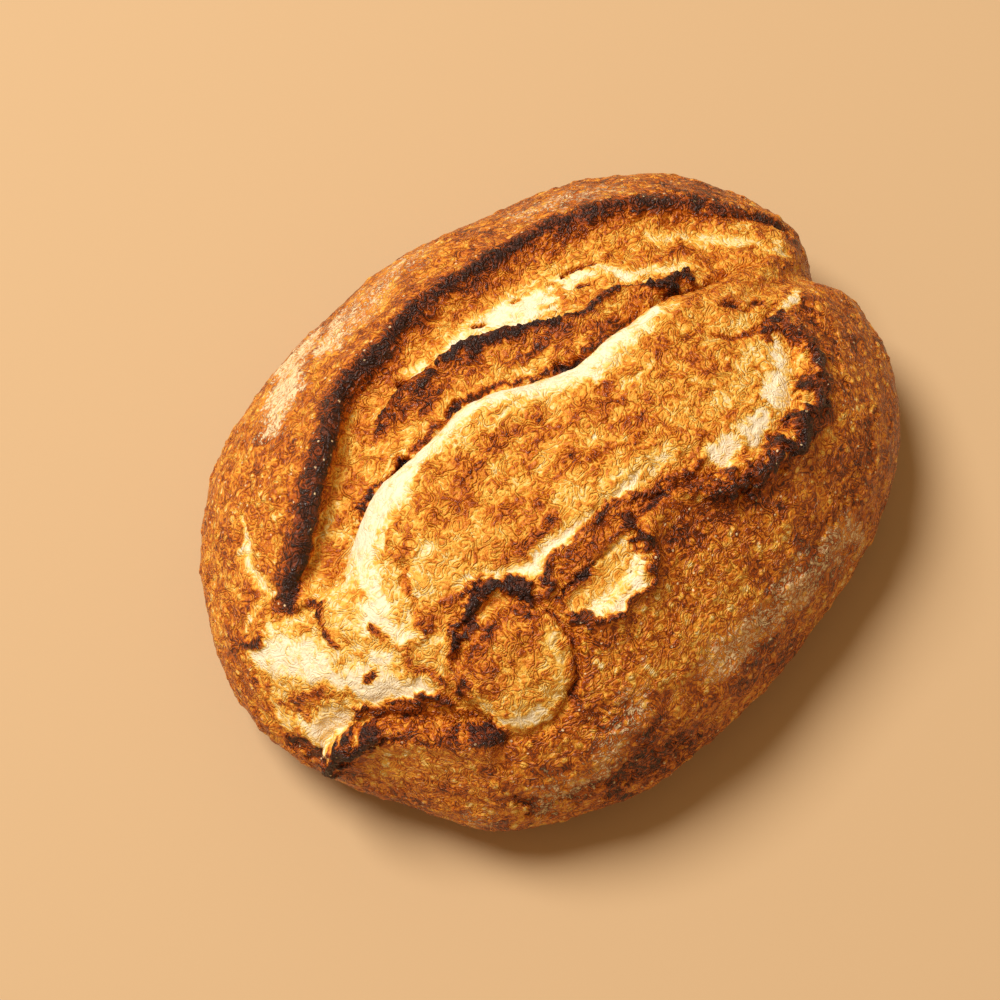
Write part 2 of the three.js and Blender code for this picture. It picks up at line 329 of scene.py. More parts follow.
# ---------------------------------------------------------------- folds in the crust
def outer_ear_relief(x, y, wander):
    """Lift and sideways push of the outer ear, the opening under it and the seam.

    Also how far across the ear each place is, and the share along it.
    """
    distance, along, left = locate(smooth_line(OUTER_EAR), x, y)
    ends = smooth(along, 0, 0.05) * smooth(1 - along, 0, 0.03)
    overhang = ends * curve_through(EAR_ALONG, LIP_OVERHANG, along)
    station = distance - overhang + 1.3 * wander
    seam, seam_along, seam_left = locate(smooth_line(SEAM), x, y)
    seam_ends = smooth(seam_along, 0, 0.1) * smooth(1 - seam_along, 0, 0.12)
    slope_width = curve_through(PLATE_SLOPE_ALONG, PLATE_SLOPE_WIDTH, seam_along)
    up_the_plate = np.clip(-(seam + 0.6 * wander) / slope_width, 0, 1)
    depth = ends * curve_through(EAR_ALONG, OPENING_DEPTH, along) * (1 - up_the_plate) ** 1.9 * seam_ends
    rise = ends * curve_through(EAR_ALONG, LIP_HEIGHT, along)
    lift = rise * curve_through(EAR_STATIONS, RISE_SHARE, station)
    lift += depth * curve_through(EAR_STATIONS, DEPTH_SHARE, station)
    lift -= SEAM_DEPTH * seam_ends * np.exp(-(np.maximum(np.abs(seam) - 0.5, 0) / SEAM_HALF_WIDTH) ** 2)
    undercut = ends * curve_through(EAR_ALONG, WALL_UNDERCUT, along)
    sideways = overhang * curve_through(EAR_STATIONS, LEAN_SHARE, station)
    sideways += undercut * curve_through(EAR_STATIONS, UNDERCUT_SHARE, station)
    over_seam = PLATE_OVERHANG * seam_ends * smooth(seam, 6, 0.5) * smooth(seam, -0.5, 0.8)
    return lift, left * sideways[:, None] - seam_left * over_seam[:, None], station, along


def inner_ear_relief(x, y, wander):
    """Lift and sideways push of the ridge that stands in the opening."""
    distance, along, left = locate(smooth_line(INNER_EAR), x, y)
    distance = distance + 0.9 * wander
    ends = smooth(along, 0, 0.12) * smooth(1 - along, 0, 0.1)
    height = ends * curve_through(INNER_ALONG, INNER_HEIGHT, along)
    lift = height * curve_through(INNER_STATIONS, INNER_SECTION, distance)
    return lift, left * (INNER_LEAN * ends * np.exp(-(distance / 3) ** 2))[:, None]


def torn_edge_relief(points, rise, drop, x, y, wander):
    """Lift and sideways push of a torn crust edge that stands up on its right, hollow on its left."""
    distance, along, left = locate(smooth_line(points), x, y)
    distance = distance + 1.4 * wander
    ends = smooth(along, 0, 0.08) * smooth(1 - along, 0, 0.08)
    crust = rise * curve_through(CRUST_STATIONS, CRUST_SECTION, distance)
    hollow = drop * curve_through(HOLLOW_STATIONS, HOLLOW_SECTION, distance)
    return ends * (crust - hollow), left * (EDGE_LEAN * ends * np.exp(-(distance / 1.8) ** 2))[:, None]


def lobe_relief(x, y):
    """The round lobe, high at its brow and low towards the near right, with a crack around it."""
    off_x, off_y = (x - LOBE_CENTRE[0]) / LOBE_RADIUS, (y - LOBE_CENTRE[1]) / LOBE_RADIUS
    share = np.hypot(off_x, off_y)
    tilt = 0.65 + 0.35 * np.clip(0.85 * off_y - 0.5 * off_x, -1, 1)
    return LOBE_HEIGHT * tilt * smooth(share, 1.03, 0.5) - LOBE_GROOVE * np.exp(-((share - 1.05) / 0.09) ** 2)


# ---------------------------------------------------------------- marks: what the oven drew on the skin, and painted shade in a few cracks and pits
def stroke(points, width, bake_and_shade=None, lift=0.0, rag=1.5, amount=1.0, flour=0.0, soft=0.8):
    """A mark along a line: its half width, one number or one for each point, and the share that fades.

    Bake is the tone it leaves, mostly the oven's browning and for a few cracks and pits painted shade; lift
    how far it stands out, and rag how far its edge strays, both in mm.
    """
    return {"points": points, "width": width, "bake_and_shade": bake_and_shade, "lift": lift, "rag": rag, "amount": amount,
            "flour": flour, "soft": soft, "closed": False, "torn": False}


def wash(points, width, bake_and_shade=None, lift=0.0, rag=1.5, amount=1.0, flour=0.0):
    """A stroke that starts to fade at its very middle."""
    return stroke(points, width, bake_and_shade, lift, rag, amount, flour, soft=1.0)


def patch(outline, border, bake_and_shade, lift=0.0, rag=1.5, amount=1.0, torn=False):
    """A mark that fills a closed outline and fades across its border, half inside and half outside."""
    return {**stroke(outline, border, bake_and_shade, lift, rag, amount), "closed": True, "torn": torn}


def torn_surface_marks():
    """Everything that opened in the oven is paler than the crust around it."""
    return [
        patch([(-104, 20), (-92, 26), (-70, 39), (-50, 53), (-37, 62), (-14, 65), (10, 66), (40, 63),
               (60, 57), (83, 46), (98, 36), (111, 20), (119, 8), (118, -6), (104, -14), (92, -14),
               (84, -22), (80, -34), (68, -46), (54, -51), (36, -49), (18, -46), (0, -43), (-12, -52),
               (-28, -56), (-42, -50), (-46, -60), (-58, -67), (-72, -66), (-80, -58), (-88, -50),
               (-96, -40), (-105, -30), (-122, -16), (-128, -4), (-127, 6), (-121, 16), (-117, 25)], 1.5,
              ORANGE, rag=2.0, torn=True),
        patch([(-118, 22), (-106, 20), (-92, 18), (-80, 14), (-76, -6), (-76, -22), (-86, -34), (-98, -26),
               (-120, -17), (-124, 0)], 4, STRAW, rag=5.0, amount=0.9),
    ]


def plate_marks():
    """The central plate: golden, streaked brown, paler towards its left end and its edges."""
    return [
        patch([(-88, 8), (-60, 20), (-30, 20), (0, 12), (20, 4), (60, 4), (84, 4), (88, -12), (78, -18),
               (70, -28), (50, -38), (28, -38), (0, -32), (-30, -30), (-50, -30), (-66, -30), (-92, -20)],
              4, AMBER, rag=4),
        patch([(-88, 8), (-60, 18), (-54, -4), (-58, -20), (-82, -28), (-92, -10)], 6, STRAW, rag=7,
              amount=0.9),
        wash([(-60, 24), (-30, 19), (0, 11), (30, 4), (60, 6)], 6, STRAW, rag=5, amount=0.7),
        wash([(-45, -21), (-38, -21.5), (-25, -23)], [3, 4, 3], RUSSET, rag=3, amount=0.8),
        wash([(-62, 6), (-52, 2), (-40, -2)], [4, 6, 4], TOFFEE, rag=8, amount=0.6),
        wash([(-44, 14), (-20, 6), (0, -2), (18, -6)], [4, 6, 6, 4], TOFFEE, rag=8, amount=0.7),
        wash([(-36, -8), (-14, -14), (4, -16), (24, -22)], [4, 6, 6, 4], TOFFEE, rag=8, amount=0.75),
        wash([(30, -4), (44, -8), (60, -8)], [4, 6, 5], TOFFEE, rag=8, amount=0.7),
        wash([(26, -16), (40, -20), (58, -20)], [3, 5, 4], TOFFEE, rag=7, amount=0.6),
        wash([(40, -32), (54, -30), (66, -24), (72, -16)], 5, STRAW, rag=5, amount=0.8),
        wash([(-20, -25), (0, -26), (20, -30)], 5, STRAW, rag=4, amount=0.6),
        stroke([(-66, 2), (-71, -4), (-75, -15)], 1.6, TOFFEE, lift=-1.2, rag=2.5),
        stroke([(-64, 12), (-68, 5), (-62, 0)], 1.4, ORANGE, lift=0.8, rag=2.5),
        wash([(-52, -20), (-47, -26), (-40, -29.5), (-30, -28), (-20, -29.5), (-10, -30.5), (5, -31)],
             [3, 5, 6.5, 4.5, 4, 3.5, 2.5], CRUMB, lift=-1.6, rag=2.4),
        stroke([(62, -11), (66, -16), (70, -18), (80, -18), (88, -15)], 1.5, BROWN, lift=-1.2, amount=0.7),
        wash([(82, -22), (89, -19), (98, -15)], [3.5, 4.5, 3.5], CRUMB, rag=4),
        stroke([(72, -4), (78, -10), (86, -12)], 1.4, RUSSET, lift=-1.0, rag=2),
    ]


def opening_marks():
    """The opening's floor: cream where it tore last, orange and straw where it dried sooner, and painted
    shade in its small pits.
    """
    return [
        wash([(-40, 55), (-7, 57), (33, 55), (63, 44), (88, 33)], 9, AMBER, rag=3),
        wash([(-20, 53), (0, 53), (20, 52), (40, 50), (58, 44)], 6, STRAW, rag=4, amount=0.8),
        wash([(-24, 53), (-11, 51), (2, 51), (13, 50), (25, 48)], [4, 6, 6.5, 8, 6], CREAM, rag=4),
        wash([(-20, 52), (-10, 50), (2, 50)], [3, 5, 4], CRUMB, rag=4),
        wash([(11, 48), (23, 47), (34, 45), (42, 43)], [6, 9, 7, 5], CRUMB, rag=3.5),
        wash([(21, 41), (33, 40), (43, 38)], [6, 8, 6], CRUMB, rag=3.5),
        wash([(37, 46), (49, 42), (58, 36), (63, 27)], [5, 8, 7, 4], CRUMB, rag=3.5),
        wash([(28, 43), (34, 40), (44, 37)], [1.5, 2.6, 1.5], GOLD, lift=0.8, rag=4),
        wash([(65, 26), (77, 22), (84, 17)], [5, 6, 4], CREAM, rag=4),
        wash([(80, 36), (90, 29), (98, 21), (106, 11), (111, 2)], [4, 6, 7, 6, 4], CREAM, rag=5,
             amount=0.85),
        wash([(30, 36), (46, 30), (58, 24)], [3, 4, 3], ORANGE, rag=4, amount=0.8),
        wash([(70, 30), (84, 26), (94, 16)], [2, 3, 2], TOFFEE, rag=4, amount=0.7),
        wash([(84, 14), (98, 4), (108, -6)], [3, 5, 3], TOFFEE, rag=5, amount=0.6),
        wash([(12, 46), (17, 41), (20, 36)], [2, 3.4, 3], GOLD, lift=0.8, rag=4),
        wash([(36, 48), (40, 42), (36, 35)], [2, 3.2, 3], GOLD, lift=0.8, rag=4),
        wash([(54, 42), (57, 36), (54, 31)], [2, 3, 2.6], GOLD, lift=0.6, rag=4),
        # Painted shade: small sunk pits in the floor, coloured brown and char for the shade inside them.
        stroke([(9, 51.5), (12, 51)], 1.5, BROWN, lift=-1.5, rag=2),
        stroke([(47, 38), (49, 36)], 1.5, BROWN, lift=-1.2, rag=2),
        stroke([(-24, 54), (-22, 53)], 2.4, CHAR, lift=-3, rag=1.2),
        stroke([(26, 51), (28, 50.5)], 1.3, BROWN, lift=-2, rag=1.5),
        stroke([(45, 47), (53, 45), (58, 43)], [1.2, 2.2, 1.4], RUSSET, lift=-2.5, rag=2),
    ]


def inner_ear_marks():
    """The inner ear: char on its crest, russet to straw down its long slope."""
    return [
        stroke([(-54, 37), (-30, 34), (-8, 31), (10, 23), (26, 17), (44, 15)], 5.5, GOLD, rag=2, soft=0.6),
        stroke([(-44, 45), (-28, 41), (-10, 38), (6, 31.5), (22, 23.5), (36, 18.5), (54, 16)],
               [5, 6, 5.5, 5, 4.4, 3, 2.5], CHESTNUT, rag=4.5),
        wash([(-56, 33), (-34, 30.5), (-12, 29), (6, 20.5), (20, 15), (42, 14)], 2.6, STRAW, rag=2),
        stroke([(-44, 46), (-36, 47), (-28, 46), (-18, 44)], [1.5, 3, 4.4, 3], BROWN, lift=0.8, rag=5.5),
        stroke([(-12, 44.5), (0, 41.5), (9, 37.5), (16, 33), (24, 29), (30, 25.5)],
               [2.2, 4.2, 4.8, 4.4, 3.2, 2], CHAR, lift=1.4, rag=4),
        stroke([(29, 25.5), (36, 23), (49, 24), (60, 17)], 1.9, SOOT, lift=1.0, rag=2.2),
        stroke([(60, 16), (67, 14.5), (73, 15), (79, 14)], [2, 4.2, 4.4, 3], CHAR, lift=3.2, rag=4.5),
        stroke([(60, 10), (72, 8), (84, 8)], [3, 4, 3], RUSSET, rag=4, amount=0.8),
    ]


def seam_marks():
    """The crack at the bottom of the opening, with painted shade along it and in three pits, and the bare
    white band on the plate beside it.
    """
    return [
        wash([(-93, 12), (-84, 15), (-75, 20), (-65, 24), (-55, 25)], [4, 8, 9, 9, 8], CREAM, rag=4),
        wash([(-80, 8), (-75, 13), (-66, 18), (-56, 20), (-46, 22)], [4, 8, 9, 9, 6], CRUMB, rag=4.5),
        stroke([(-74, 19), (-61, 25), (-47, 25), (-34, 24.5), (-19, 24.5), (-9, 22), (-1, 18.5), (5, 15),
                (13, 11), (22, 8.5), (36, 8.5), (53, 8.5)],
               [8, 8.5, 7.5, 7, 7, 7.4, 8, 8.5, 8.5, 8, 6.5, 3.5], CRUMB, rag=2.2, soft=0.9),
        wash([(16, 12), (19, 6), (19, 1)], [5, 6, 3], CRUMB, rag=3),
        # Painted shade: a dark line along the seam's crack, then char colour in three sunk pits for the shade
        # inside them.
        stroke([(-72, 28.5), (-60, 32), (-45, 32), (-34, 31.6), (-19, 32), (-10, 30.2), (-3, 27.2),
                (3, 23.6), (11, 20), (20, 16.2), (33, 15.6), (53, 15)],
               [0.4, 0.8, 1.2, 1.5, 1.5, 1.4, 1.4, 1.4, 1.2, 1.4, 1.0, 0.6], SOOT, rag=2.4, amount=0.85),
        stroke([(-47, 32.5), (-43, 32.3)], 1.7, CHAR, lift=-3.5, rag=2),
        stroke([(-22, 33), (-17, 32.5)], 1.6, CHAR, lift=-2, rag=1.8),
        stroke([(17, 17.6), (23, 16)], 2.4, CHAR, lift=-3, rag=1.8),
    ]


def near_side_marks():
    """The torn near side: brown edges, pale hollows and rows of burnt flakes."""
    return [
        patch([(-44, -38), (-30, -32), (0, -33), (6, -38), (28, -40), (28, -47), (10, -43), (-2, -42),
               (-10, -46), (-40, -46)], 1.5, CHESTNUT, rag=3, amount=0.85),
        stroke([(-43, -38), (-37, -35), (-30, -31.5), (-20, -32.5), (0, -33), (5, -38), (17, -39),
                (27, -39.5)], 2.2, UMBER, lift=1.3, rag=3.2),
        stroke([(-40, -41), (-25, -42), (-15, -43)], [1, 2, 1.2], BROWN, lift=-1.2, rag=3),
        stroke([(0, -41.5), (7, -41.5)], 1.2, BROWN, lift=-1.2),
        patch([(-40, -46), (-24, -43), (-9, -43), (-9, -51), (-20, -55), (-30, -56), (-38, -50)], 2, STRAW,
              lift=-1.2, rag=3.5),
        wash([(-38, -47), (-26, -46), (-14, -46)], 3.5, GOLD, rag=4, amount=0.9),
        wash([(-36, -51), (-28, -54.5), (-20, -54.5), (-12, -51)], [2.6, 4, 4, 3], CRUMB, rag=3.5),
        stroke([(-41, -48), (-35, -54), (-30, -58), (-25, -56), (-20, -57), (-13, -57), (-8, -51),
                (-6, -44)], [1.4, 1.6, 1.6, 1.4, 1.4, 1.8, 2.4, 2.2], BROWN, lift=1.6, rag=3.6),
        stroke([(-10, -48), (-6, -42), (-4, -38)], [2, 2.5, 2], SOOT, lift=1.4, rag=4),
        patch([(26, -38), (45, -37), (58, -34), (66, -28), (72, -22), (78, -24), (79, -34), (74, -41),
               (64, -46), (55, -49), (40, -49), (30, -47)], 3.2, STRAW, rag=4.5),
        wash([(30, -43), (42, -43), (52, -42)], [4, 6, 5], CRUMB, rag=4.5),
        wash([(48, -44), (58, -41), (66, -36)], [5, 8, 6], CRUMB, rag=4.5),
        wash([(68, -35), (74, -31), (77, -25)], [6, 6, 4], CRUMB, rag=4.5),
        wash([(56, -47), (58, -41), (56, -36)], [2.2, 2.6, 2], GOLD, lift=0.7, rag=5),
        wash([(72, -40), (70, -34), (65, -30)], [2.4, 2.2, 2], GOLD, lift=0.7, rag=5),
        wash([(40, -47), (42, -42), (38, -38)], [2, 2.2, 1.6], GOLD, lift=0.6, rag=5),
        stroke([(22, -52), (40, -54), (56, -54), (70, -50), (80, -43), (86, -30), (83, -22)],
               [4, 5, 6, 6.5, 6, 5, 4], UMBER, lift=1.2, rag=5, soft=0.6),
        stroke([(10, -42), (15, -45), (21, -49), (29, -48)], [2, 3.4, 3.8, 2.5], UMBER, lift=2.0, rag=5),
        stroke([(24, -52), (30, -54)], [3, 4], SOOT, lift=2.4, rag=6),
        stroke([(38, -54), (45, -54.5)], [4, 3.4], SOOT, lift=2.6, rag=6),
        stroke([(50, -54.5), (58, -54), (62, -52)], [3, 5, 3], CHAR, lift=2.6, rag=6),
        stroke([(66, -49), (73, -45)], [4, 4.4], SOOT, lift=2.4, rag=6),
        stroke([(79, -42), (83, -36)], [3.4, 3], SOOT, lift=2, rag=5),
        stroke([(82, -30), (86, -26)], 3, BROWN, lift=1.5, rag=5),
        stroke([(76, -22), (79, -21)], 3, BROWN, lift=1, rag=4),
        wash([(-2, -52), (10, -56), (24, -60), (40, -60)], [3, 5, 5, 3], RUSSET, rag=6, amount=0.7),
    ]


def lobe_marks():
    """The round lobe: burnt along its brow, golden in the middle, pale at its lower rim, with painted shade
    in the crack along its right edge.
    """
    return [
        stroke([(-89, -24), (-84, -19), (-78, -18), (-71, -18), (-66, -22)], [3, 5, 5.5, 6, 5], TOFFEE,
               lift=1, rag=4),
        stroke([(-86, -26), (-83, -33)], 2.2, RUSSET, rag=2.5),
        patch([(-76, -34), (-62, -29), (-49, -34), (-45, -46), (-50, -60), (-62, -65), (-76, -60),
               (-80, -46)], 2, COPPER, rag=2),
        wash([(-68, -55), (-61, -48), (-53, -50)], [7, 10, 7], GOLD, rag=5, amount=0.9),
        wash([(-72, -36), (-61, -32), (-51, -36)], 5, UMBER, rag=4.5, amount=0.8),
        stroke([(-80, -42), (-78, -35), (-73, -29)], [2, 3, 3], UMBER, lift=1.4, rag=4),
        stroke([(-74, -30), (-69, -27.5), (-63, -25), (-58, -22), (-53, -24), (-48, -29), (-46, -36)],
               [2, 3.6, 4.4, 4.6, 4.6, 3.6, 2], CHAR, lift=2.0, rag=4.5),
        # Painted shade: a dark russet line sunk into the crack along the lobe's near right edge.
        stroke([(-45, -43), (-44, -52), (-47, -59), (-55, -65)], 1.5, RUSSET, lift=-1.2, rag=1.6),
        wash([(-76, -53), (-68, -58), (-60, -59), (-53, -55), (-49, -46)], [6, 7, 7.5, 6, 4], HONEY, rag=5),
        wash([(-76, -56), (-70, -61), (-65, -62)], [3, 4, 2.5], CRUMB, rag=4),
        wash([(-58, -61), (-53, -58), (-49, -50)], [2.5, 4, 2], CREAM, rag=4),
        wash([(-79, -44), (-78, -52)], 3.6, STRAW, rag=3),
    ]


def left_end_marks():
    """The burst left end: bare crumb with toasted islands, and the corner's burnt knobs."""
    return [
        stroke([(-114, 19), (-110, 6), (-105, -8), (-99, -20), (-90, -31)], [8, 10, 11, 11, 6], CRUMB,
               rag=3.5, soft=0.9),
        stroke([(-122, 6), (-120, -8), (-114, -17), (-108, -20)], [4, 6, 7.5, 4], CREAM, rag=4, soft=0.8),
        wash([(-120, -8), (-115, -15), (-111, -17)], [3, 5, 4], CRUMB, rag=4),
        wash([(-78, 4), (-83, -2), (-89, -7)], [5, 8.5, 7], CRUMB, rag=4.5),
        wash([(-84, -12), (-81, -17)], [6, 5], CRUMB, rag=4.5),
        wash([(-95, -11), (-92, -18)], [6, 5], CRUMB, rag=4.5),
        wash([(-101, 21), (-94, 14), (-90, 8)], [3, 5, 4], STRAW, rag=4),
        wash([(-122, 10), (-118, 2), (-113, -7), (-108, -15)], [4, 7, 7.5, 4], GOLD, rag=5),
        wash([(-120, 2), (-115, -5), (-111, -11)], [2.5, 4.5, 3], CHESTNUT, rag=4.5),
        wash([(-103, 13), (-98, 4), (-97, -6)], [3.5, 4.5, 3], GOLD, rag=4),
        stroke([(-100, 18), (-96, 12), (-98, 5), (-99, -1)], [2.8, 3, 2.4, 1.6], UMBER, lift=1.4, rag=4.5),
        wash([(-92, -2), (-90, -13), (-85, -20)], [2.5, 3.2, 2.5], GOLD, rag=5, amount=0.9),
        wash([(-102, -2), (-99, -8), (-94, -13)], [2.5, 3, 2], GOLD, rag=5, amount=0.8),
        stroke([(-99, -15), (-96, -16)], 1.8, RUSSET, rag=2.5),
        stroke([(-87, -6), (-88, -12)], 1.8, RUSSET, rag=2.5),
        stroke([(-92, 17), (-86, 15)], 2.4, HONEY, lift=-2.5),
        stroke([(-104, -27), (-96, -34), (-88, -43)], [4, 4.5, 4], CHESTNUT, rag=3),
        stroke([(-110, -19), (-103, -24), (-98, -28), (-92, -33), (-86, -39)], 2.2, UMBER, lift=1.4,
               rag=3.6),
        stroke([(-110, -29), (-105, -31), (-100, -36), (-95, -42), (-90, -48)], 1.4, SOOT, lift=-0.8,
               amount=0.8, rag=2.5),
        wash([(-112, -34), (-104, -42), (-95, -52)], [6, 11, 7], AMBER, rag=5, amount=0.9),
        stroke([(-121, -21), (-113, -24), (-106, -27)], [3.6, 5, 3.4], CHAR, lift=2.6, rag=4),
        stroke([(-86, -50), (-82, -55), (-79, -58)], [3, 4, 3], CHAR, lift=1.8, rag=3, amount=0.9),
    ]


def crust_marks():
    """The unbroken crust: cracks, dark creases and lighter bands."""
    return [
        wash([(-91, 57), (-95, 50), (-99, 45), (-102, 40), (-102, 34), (-101, 29)],
             [1.4, 2.2, 3, 3.2, 2.8, 2], CREAM, lift=-1.0, rag=2),
        wash([(-115, 29), (-108, 30), (-102, 29)], [2.6, 3.4, 3], STRAW, rag=3),
        stroke([(-118, 24), (-112, 21)], 3, BROWN, lift=1.2, rag=3.5),
        stroke([(-127, -5), (-125, -12), (-121, -19)], 1.8, BROWN, lift=-1),
        wash([(-88, -74), (-70, -85), (-50, -93), (-27, -99)], [2, 4, 4, 2], BROWN, lift=-1.2, rag=5,
             amount=0.85),
        wash([(-58, -73), (-48, -78), (-38, -81)], [2, 5, 3], BROWN, lift=-0.8, rag=5, amount=0.8),
        wash([(10, -86), (50, -79), (72, -72), (92, -61)], [3, 4, 3.5, 2], UMBER, lift=-0.8, rag=6,
             amount=0.6),
        wash([(-44, -70), (-28, -78), (-8, -80), (12, -76)], [9, 15, 13, 7], AMBER, rag=6, amount=0.9),
        wash([(0, -70), (30, -70), (55, -67), (76, -56), (88, -40)], [3, 5, 5, 5, 3], ORANGE, rag=7,
             amount=0.7),
        wash([(-40, -66), (-22, -66), (0, -63), (20, -64)], [6, 9, 9, 6], ORANGE, rag=7, amount=0.9),
        wash([(-90, -62), (-72, -72), (-48, -75)], [4, 5, 4], ORANGE, rag=7, amount=0.6),
        wash([(96, -20), (94, -36), (84, -52)], [2, 3, 2], UMBER, lift=-0.8, rag=5, amount=0.7),
        wash([(104, -10), (102, -30), (92, -48)], 4, ORANGE, rag=6, amount=0.6),
    ]


def flour_marks():
    """Dusting from the proving basket."""
    return [
        wash([(-64, 72), (-52, 80), (-42, 87)], [7, 11, 8], flour=1.0, rag=6),
        wash([(-44, 92), (-28, 93)], 8, flour=0.9, rag=5),
        wash([(-32, 82), (-18, 88)], 8, flour=0.9, rag=6),
        wash([(-24, 84), (0, 86), (14, 88)], 12, flour=0.5, rag=6),
        wash([(52, 74), (82, 58)], 8, flour=0.45, rag=6),
        wash([(-80, -78), (-66, -84), (-40, -80)], [6, 8, 8], flour=0.5, rag=6),
        stroke([(-102, -64), (-97, -70)], 3.5, flour=0.35, rag=4),
        wash([(-13, -87), (5, -88), (30, -86), (62, -84)], [6, 8, 9, 6], flour=0.6, rag=6),
    ]


def all_marks():
    return (torn_surface_marks() + plate_marks() + opening_marks() + inner_ear_marks() + seam_marks()
            + near_side_marks() + lobe_marks() + left_end_marks() + crust_marks() + flour_marks())


def mark_weight(mark, x, y):
    """How strongly a mark is there, from 0 to 1."""
    line = smooth_line(mark["points"] + mark["points"][:1] if mark["closed"] else mark["points"])
    if mark["closed"]:
        return mark["amount"] * smooth(inside_distance(line[:-1], x, y), -mark["width"], mark["width"])
    distance, along, _ = locate(line, x, y)
    width = np.asarray(mark["width"], float)
    if width.ndim:
        width = np.interp(along, np.linspace(0, 1, len(width)), width)
    return mark["amount"] * smooth(width - np.abs(distance), 0, mark["soft"] * width)


def apply_marks(marks, x, y, warp, bake_and_shade):
    """Lift, tone (the oven's browning, and painted shade from a few marks), flour and unbroken skin after the
    marks; later marks lie over earlier ones.
    """
    bake_and_shade = bake_and_shade.copy()
    lift, flour = np.zeros((2, len(x)))
    skin = np.ones(len(x))
    for mark in marks:
        reach = float(np.max(mark["width"])) + 2 * mark["rag"]
        low, high = np.min(mark["points"], axis=0) - reach, np.max(mark["points"], axis=0) + reach
        near = np.nonzero((x > low[0]) & (x < high[0]) & (y > low[1]) & (y < high[1]))[0]
        if not len(near):
            continue
        moved = mark["rag"] * warp[near]
        weight = mark_weight(mark, x[near] + moved[:, 0], y[near] + moved[:, 1])
        lift[near] += mark["lift"] * weight
        flour[near] = np.maximum(flour[near], mark["flour"] * weight)
        if mark["bake_and_shade"] is not None:
            bake_and_shade[near] = mix(bake_and_shade[near], mark["bake_and_shade"], weight)
        if mark["torn"]:
            skin[near] = 1 - weight
    return lift, bake_and_shade, flour, skin


# ---------------------------------------------------------------- the sculpted skin
def ear_bake(bake_and_shade, station, along, wander):
    """A dark leathery lip on the outer ear, a charred crease under it, and the wall from brown to gold."""
    ends = smooth(along, 0, 0.01) * smooth(1 - along, 0, 0.01)
    on_wall = (station < -1.5) & (station > -12)
    wall = curve_through(WALL_STATIONS, WALL_BAKE, station + 1.6 * wander)
    bake_and_shade = np.where(on_wall, mix(bake_and_shade, wall, ends * smooth(station, -11, -7)), bake_and_shade)
    width = curve_through(LIP_WIDTH_ALONG, LIP_WIDTH, along) + 1.6 * wander
    fade = curve_through(LIP_FADE_ALONG, LIP_FADE, along)
    lip = smooth(station, -2.6, -1.6) * smooth(station - width, fade, -fade)
    leather = curve_through(LIP_BAKE_ALONG, LIP_BAKE, along) + 0.12 * wander
    bake_and_shade = mix(bake_and_shade, leather, ends * lip)
    crease = np.exp(-((station + 1.1) / 0.9) ** 2) * curve_through(CREASE_ALONG, CREASE_CHAR, along)
    return mix(bake_and_shade, CHAR, ends * crease)


def sculpt(directions):
    """Places, and the oven's marks with the painted shade of a few of them, for directions on the unit ball.
    """
    body, normal, rim_fade = smooth_body(directions)
    warp = 1.5 * np.stack([layered_noise(body + shift, 9, 4, 0.7) for shift in (0, 300)], axis=1)
    wander = layered_noise(body + 500, 7, 4, 0.6)
    lumps = 1.6 * noise(body + 90, 42) + 0.8 * noise(body + 140, 17) + 0.45 * noise(body + 180, 8)
    lift = lumps * smooth(body[:, 2], 2, 20)
    push = np.zeros((len(body), 2))
    flour, skin = np.zeros(len(body)), np.ones(len(body))
    bake_and_shade = crust_bake(body)
    top = np.nonzero(rim_fade > 0)[0]
    x, y, _ = body[top].T
    stray = wander[top]
    ear_lift, ear_push, ear_station, ear_along = outer_ear_relief(x, y, stray)
    inner_lift, inner_push = inner_ear_relief(x, y, stray)
    lower_lift, lower_push = torn_edge_relief(LOWER_LIP, LOWER_LIP_RISE, LOWER_LIP_DROP, x, y, stray)
    corner_lift, corner_push = torn_edge_relief(CORNER_LIP, CORNER_LIP_RISE, CORNER_LIP_DROP, x, y, stray)
    mark_lift, marked, flour[top], skin[top] = apply_marks(MARKS, x, y, warp[top], bake_and_shade[top])
    bake_and_shade[top] = ear_bake(marked, ear_station, ear_along, stray)
    relief = ear_lift + inner_lift + lower_lift + corner_lift + mark_lift + lobe_relief(x, y)
    lift[top] += rim_fade[top] * relief
    push[top] = rim_fade[top, None] * (ear_push + inner_push + lower_push + corner_push)
    places = body + normal * lift[:, None]
    places[:, :2] += push
    return {"place": places, "bake_and_shade": bake_and_shade, "flour": flour, "skin": skin}


def crust_bake(body):
    """Tone of the unbroken crust before any mark: mottled toffee, lighter on the far left."""
    patches = layered_noise(body + 20, 26, 2)
    streaks = layered_noise(body * (0.5, 1, 1) + 40, 7, 3, 0.6)
    far_left = smooth(body[:, 1], 0, 50) * smooth(body[:, 0], 60, -60)
    low_near_side = smooth(body[:, 2], 45, 15) * smooth(body[:, 1], 20, -40)
    return 0.64 + 0.14 * patches + 0.2 * streaks - 0.07 * far_left + 0.02 * low_near_side


